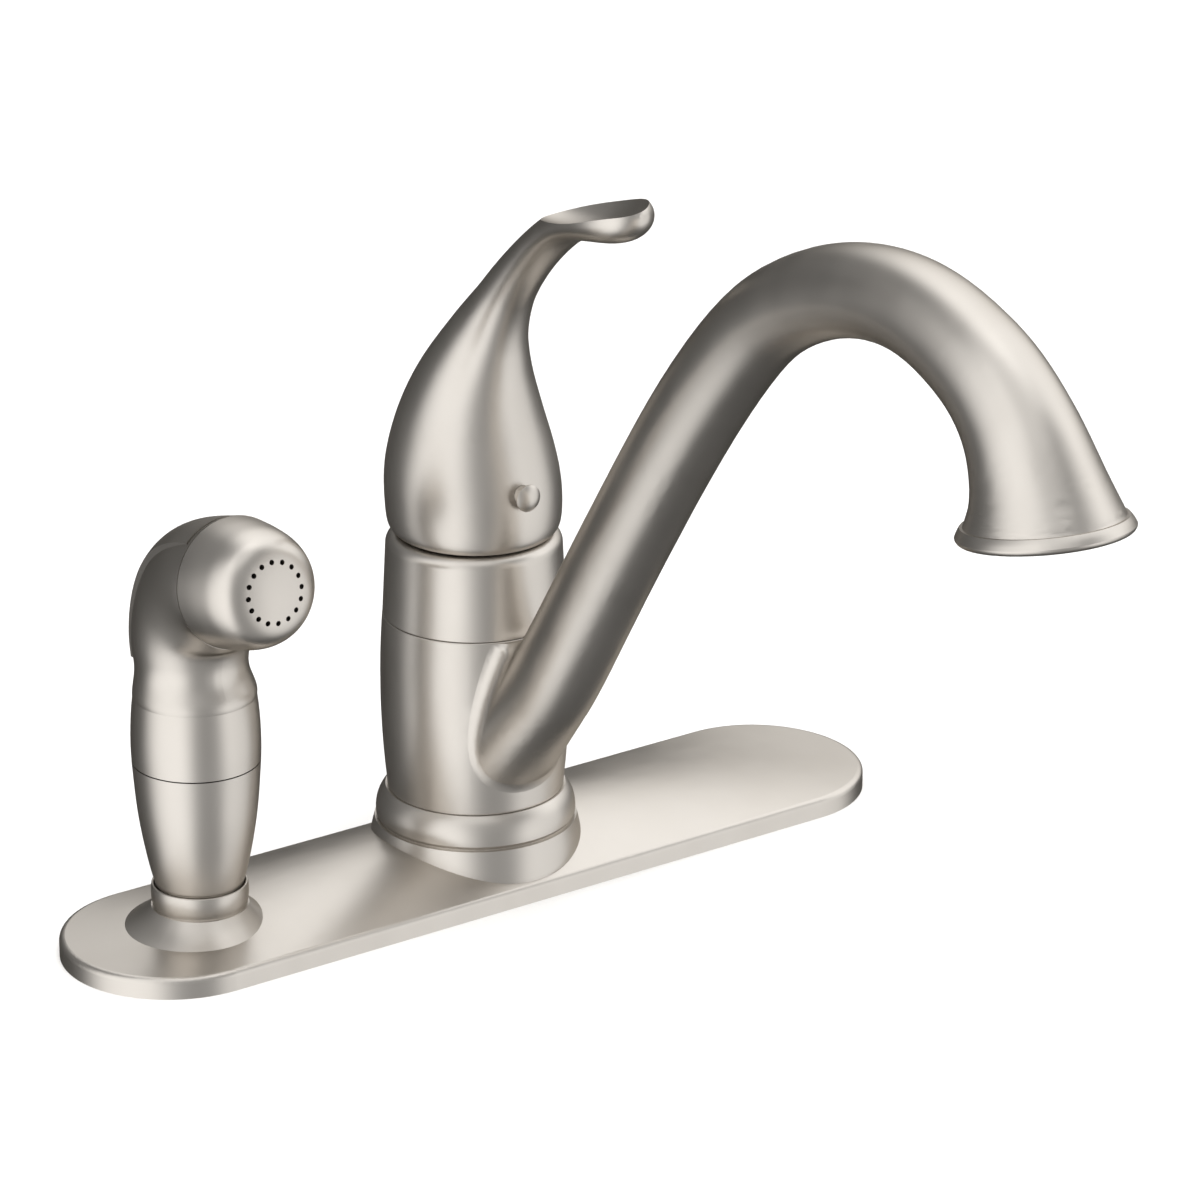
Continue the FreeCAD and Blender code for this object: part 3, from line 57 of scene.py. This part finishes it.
# ---------------------------------------------------------------- noise of the materials
NOISE_LOW = 0.3         # values between which the noise changes tint and gloss
NOISE_HIGH = 0.7
TINT_SCALE = 38.0       # noise cells per metre
GLOSS_SCALE = 90.0
GLOSS_DETAIL = 4.0
GRAIN_DETAIL = 2.0
GRAIN_HEIGHT = 0.00004  # metres


# ================================================================ materials
def new_material(name):
    material = bpy.data.materials.new(name)
    material.use_nodes = True
    tree = material.node_tree
    return material, tree, tree.nodes["Principled BSDF"]


def add_noise(tree, scale, detail=3.0, stretch=(1, 1, 1)):
    """Noise in the object's own coordinates, which are metres in the row frame."""
    place = tree.nodes.new("ShaderNodeTexCoord")
    mapping = tree.nodes.new("ShaderNodeMapping")
    noise = tree.nodes.new("ShaderNodeTexNoise")
    mapping.inputs["Scale"].default_value = stretch
    noise.inputs["Scale"].default_value = scale
    noise.inputs["Detail"].default_value = detail
    tree.links.new(place.outputs["Object"], mapping.inputs["Vector"])
    tree.links.new(mapping.outputs["Vector"], noise.inputs["Vector"])
    return noise


def add_range(tree, source, low, high):
    """Spread a 0 to 1 value over low to high."""
    spread = tree.nodes.new("ShaderNodeMapRange")
    spread.inputs["From Min"].default_value = NOISE_LOW
    spread.inputs["From Max"].default_value = NOISE_HIGH
    spread.inputs["To Min"].default_value = low
    spread.inputs["To Max"].default_value = high
    tree.links.new(source, spread.inputs["Value"])
    return spread.outputs["Result"]


def add_bump(tree, shader, source, strength, distance):
    bump = tree.nodes.new("ShaderNodeBump")
    bump.inputs["Strength"].default_value = strength
    bump.inputs["Distance"].default_value = distance
    tree.links.new(source, bump.inputs["Height"])
    tree.links.new(bump.outputs["Normal"], shader.inputs["Normal"])


def add_tint(tree, shader, source, dark, light):
    """Blend the base colour from dark to light over the noise."""
    ramp = tree.nodes.new("ShaderNodeValToRGB")
    ramp.color_ramp.elements[0].position = NOISE_LOW
    ramp.color_ramp.elements[0].color = (*dark, 1)
    ramp.color_ramp.elements[1].position = NOISE_HIGH
    ramp.color_ramp.elements[1].color = (*light, 1)
    tree.links.new(source, ramp.inputs["Fac"])
    tree.links.new(ramp.outputs["Color"], shader.inputs["Base Color"])


def surface(name, dark, light, metallic, rough, grain_scale, grain, edge_tint=None,
            stretch=(1, 1, 1)):
    """A material with a faint tint change, uneven gloss and a fine grain."""
    material, tree, shader = new_material(name)
    shader.inputs["Metallic"].default_value = metallic
    if edge_tint:
        shader.inputs["Specular Tint"].default_value = (*edge_tint, 1)
    cloud = add_noise(tree, TINT_SCALE)
    add_tint(tree, shader, cloud.outputs["Fac"], dark, light)
    smudge = add_noise(tree, GLOSS_SCALE, GLOSS_DETAIL, stretch)
    gloss = add_range(tree, smudge.outputs["Fac"], rough[0], rough[1])
    tree.links.new(gloss, shader.inputs["Roughness"])
    fine = add_noise(tree, grain_scale, GRAIN_DETAIL, stretch)
    add_bump(tree, shader, fine.outputs["Fac"], grain, GRAIN_HEIGHT)
    return material


EDGE = (0.42, 0.40, 0.37)  # tint of the satin cover's gloss at grazing angles
looks = {
    "satin_cover": surface("satin nickel", (0.695, 0.658, 0.612), (0.715, 0.68, 0.636), 1.0,
                           (0.33, 0.37), 2600.0, 0.015, EDGE, (1, 1, 0.5)),
    "dark_plastic": surface("dark plastic", (0.030, 0.030, 0.032), (0.040, 0.040, 0.043), 0.0,
                            (0.42, 0.55), 1800.0, 0.35),
    "light_plastic": surface("light plastic", (0.70, 0.69, 0.65), (0.76, 0.75, 0.71), 0.0,
                             (0.30, 0.40), 1500.0, 0.20),
    "raw_brass": surface("machined brass", (0.62, 0.45, 0.19), (0.72, 0.54, 0.26), 1.0,
                         (0.24, 0.38), 1400.0, 0.25, None, (1, 1, 5)),
    "copper_tube": surface("drawn copper", (0.66, 0.32, 0.20), (0.76, 0.41, 0.27), 1.0,
                           (0.20, 0.34), 1400.0, 0.20, None, (6, 6, 1)),
    "steel": surface("turned steel", (0.52, 0.52, 0.53), (0.60, 0.60, 0.61), 1.0,
                     (0.22, 0.32), 1800.0, 0.20),
    "black_rubber": surface("rubber", (0.018, 0.018, 0.018), (0.028, 0.028, 0.028), 0.0,
                            (0.55, 0.70), 1200.0, 0.35),
    "foam_rubber": surface("foam gasket", (0.05, 0.05, 0.05), (0.075, 0.075, 0.075), 0.0,
                           (0.80, 0.95), 900.0, 0.60),
}
for part in frame["record"]["subparts"]:
    thing = nodes[part["node"]]
    thing.data.materials.clear()
    thing.data.materials.append(looks[part["material_slot"]])

# ================================================================ floor, lights, world
bpy.ops.mesh.primitive_plane_add(size=FLOOR_SIZE, location=(0, 0, 0))
floor = bpy.context.active_object
floor.name = "floor"
floor_look, _, floor_shader = new_material("pale floor")
floor_shader.inputs["Base Color"].default_value = (*FLOOR_TINT, 1)
floor_shader.inputs["Roughness"].default_value = FLOOR_ROUGH
floor.data.materials.append(floor_look)
floor.visible_glossy = False

lamp = bpy.data.lights.new("top soft light", "AREA")
lamp.shape = "DISK"
lamp.size = TOP_LIGHT_SIZE
lamp.energy = TOP_LIGHT_POWER
top_light = bpy.data.objects.new("top soft light", lamp)
bpy.context.scene.collection.objects.link(top_light)
top_light.location = TOP_LIGHT_AT
top_light.rotation_euler = Vector(TOP_LIGHT_AT).to_track_quat("Z", "Y").to_euler()
top_light.visible_glossy = False

world = bpy.data.worlds.new("studio")
bpy.context.scene.world = world
world.use_nodes = True
tree = world.node_tree
sky = tree.nodes["Background"]
place = tree.nodes.new("ShaderNodeTexCoord")
total = None
for turn, height, power, core, soft, tall in SOFT_BOXES:
    a = math.radians(CAMERA_AZIMUTH + turn)
    e = math.radians(height)
    aim = Vector((math.cos(a) * math.cos(e), math.sin(a) * math.cos(e), math.sin(e) * tall))
    aim.normalize()
    squeeze = tree.nodes.new("ShaderNodeVectorMath")
    squeeze.operation = "MULTIPLY"
    squeeze.inputs[1].default_value = (1, 1, tall)
    unit = tree.nodes.new("ShaderNodeVectorMath")
    unit.operation = "NORMALIZE"
    facing = tree.nodes.new("ShaderNodeVectorMath")
    facing.operation = "DOT_PRODUCT"
    facing.inputs[1].default_value = aim
    glow = tree.nodes.new("ShaderNodeMapRange")
    glow.interpolation_type = "SMOOTHSTEP"
    glow.inputs["From Min"].default_value = math.cos(math.radians(soft))
    glow.inputs["From Max"].default_value = math.cos(math.radians(core))
    glow.inputs["To Min"].default_value = 0.0
    glow.inputs["To Max"].default_value = power
    tree.links.new(place.outputs["Generated"], squeeze.inputs[0])
    tree.links.new(squeeze.outputs["Vector"], unit.inputs[0])
    tree.links.new(unit.outputs["Vector"], facing.inputs[0])
    tree.links.new(facing.outputs["Value"], glow.inputs["Value"])
    add = tree.nodes.new("ShaderNodeMath")
    add.operation = "ADD"
    tree.links.new(glow.outputs["Result"], add.inputs[0])
    if total is None:
        add.inputs[1].default_value = AMBIENT
    else:
        tree.links.new(total, add.inputs[1])
    total = add.outputs["Value"]
tree.links.new(total, sky.inputs["Strength"])
sky.inputs["Color"].default_value = (*WORLD_TINT, 1)

# ================================================================ camera
camera_data = bpy.data.cameras.new("camera")
camera_data.lens = LENS
camera_data.sensor_width = SENSOR_WIDTH
camera_data.clip_start = CLIP_NEAR
camera_data.clip_end = CLIP_FAR
camera = bpy.data.objects.new("camera", camera_data)
bpy.context.scene.collection.objects.link(camera)
turned = Matrix((CAMERA_RIGHT, CAMERA_UP, CAMERA_BACK)).transposed().to_4x4()
camera.matrix_world = Matrix.Translation(CAMERA_AT) @ turned
bpy.context.scene.camera = camera
bpy.context.scene.view_settings.view_transform = "Standard"
